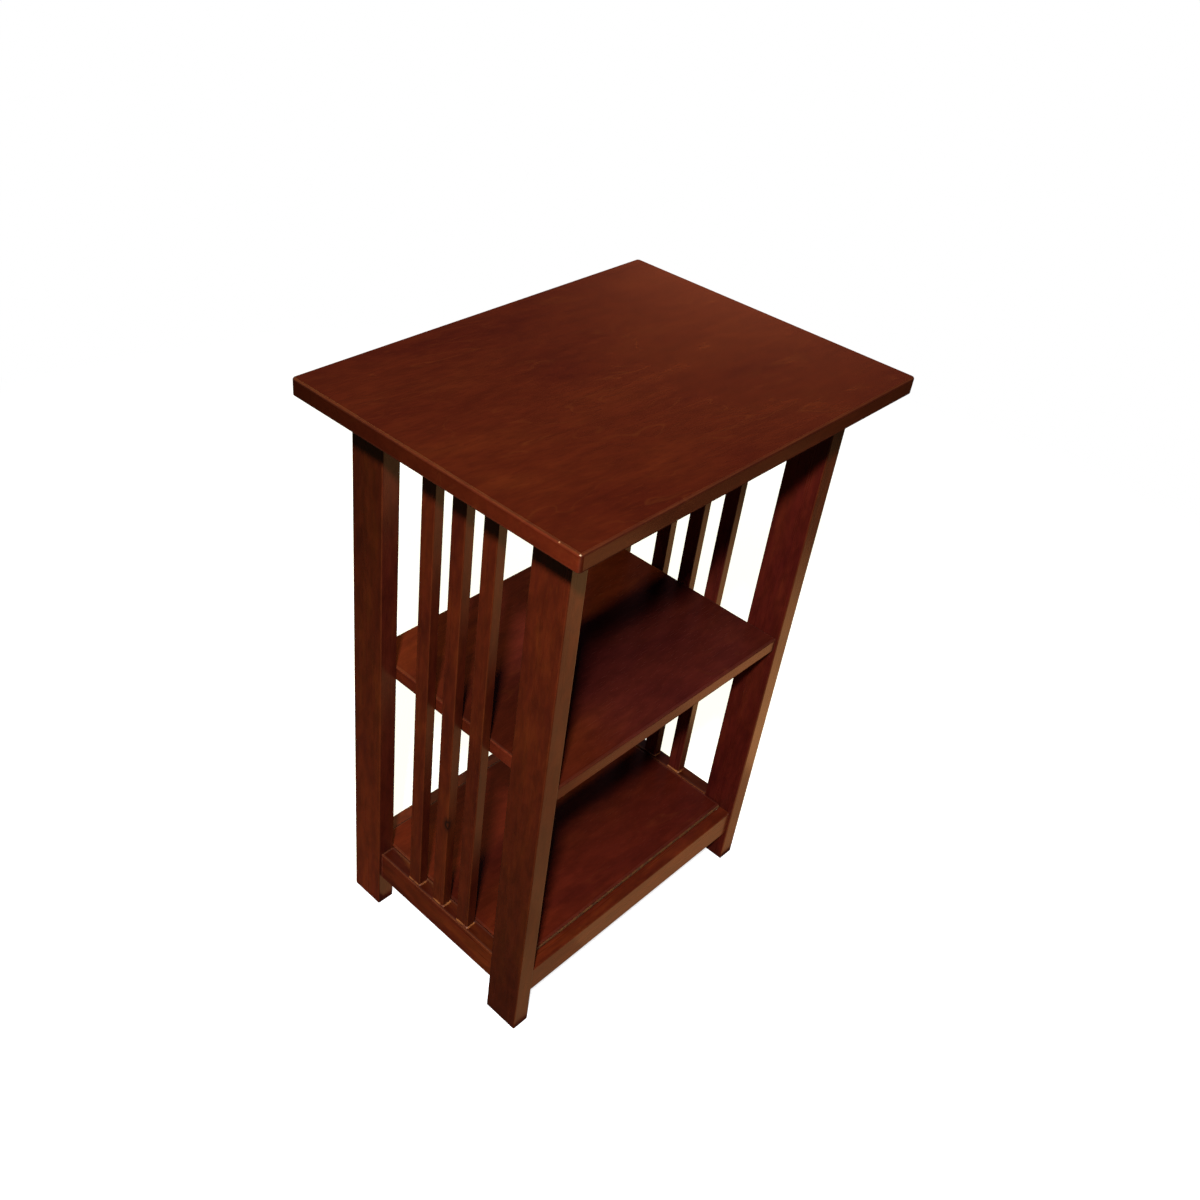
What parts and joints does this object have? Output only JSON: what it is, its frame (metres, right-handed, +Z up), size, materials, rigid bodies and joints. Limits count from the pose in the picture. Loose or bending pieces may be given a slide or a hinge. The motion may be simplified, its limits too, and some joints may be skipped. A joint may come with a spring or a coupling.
{
  "type": "end table",
  "caption": "Tall narrow end table: slatted ends between flat legs, overhanging board top, open middle shelf and a framed bottom shelf.",
  "frame": {"origin": "on the floor, midway between the four feet", "axes": "+X to the right along the long side, seen from the open front; +Y to the rear; +Z up"},
  "size_m": [0.476, 0.354, 0.686],
  "materials": {
    "stained_top_wood": "satin reddish-brown stain",
    "stained_frame_wood": "satin reddish-brown stain",
    "stained_shelf_wood": "satin reddish-brown stain",
    "cleat_wood": "bare sanded hardwood",
    "dowel_wood": "bare beech",
    "screw_steel": "zinc plated"
  },
  "bodies": {
    "root": {"tabletop": "stained_top_wood", "middle_shelf": "stained_shelf_wood", "bottom_shelf_panel": "stained_shelf_wood", "leg_front_left": "stained_frame_wood", "leg_rear_left": "stained_frame_wood", "leg_front_right": "stained_frame_wood", "leg_rear_right": "stained_frame_wood", "slat_left_1": "stained_frame_wood", "slat_left_2": "stained_frame_wood", "slat_left_3": "stained_frame_wood", "slat_right_1": "stained_frame_wood", "slat_right_2": "stained_frame_wood", "slat_right_3": "stained_frame_wood", "upper_end_rail_left": "stained_frame_wood", "upper_end_rail_right": "stained_frame_wood", "lower_end_rail_left": "stained_frame_wood", "lower_end_rail_right": "stained_frame_wood", "upper_long_rail_front": "stained_frame_wood", "upper_long_rail_rear": "stained_frame_wood", "lower_long_rail_front": "stained_frame_wood", "lower_long_rail_rear": "stained_frame_wood", "panel_cleat_front": "cleat_wood", "panel_cleat_rear": "cleat_wood", "panel_cleat_left": "cleat_wood", "panel_cleat_right": "cleat_wood", "end_frame_dowels_left": "dowel_wood", "end_frame_dowels_right": "dowel_wood", "long_rail_dowels": "dowel_wood", "middle_shelf_dowels": "dowel_wood", "tabletop_screws": "screw_steel", "cleat_screws": "screw_steel", "panel_screws": "screw_steel"}
  },
  "joints": []
}
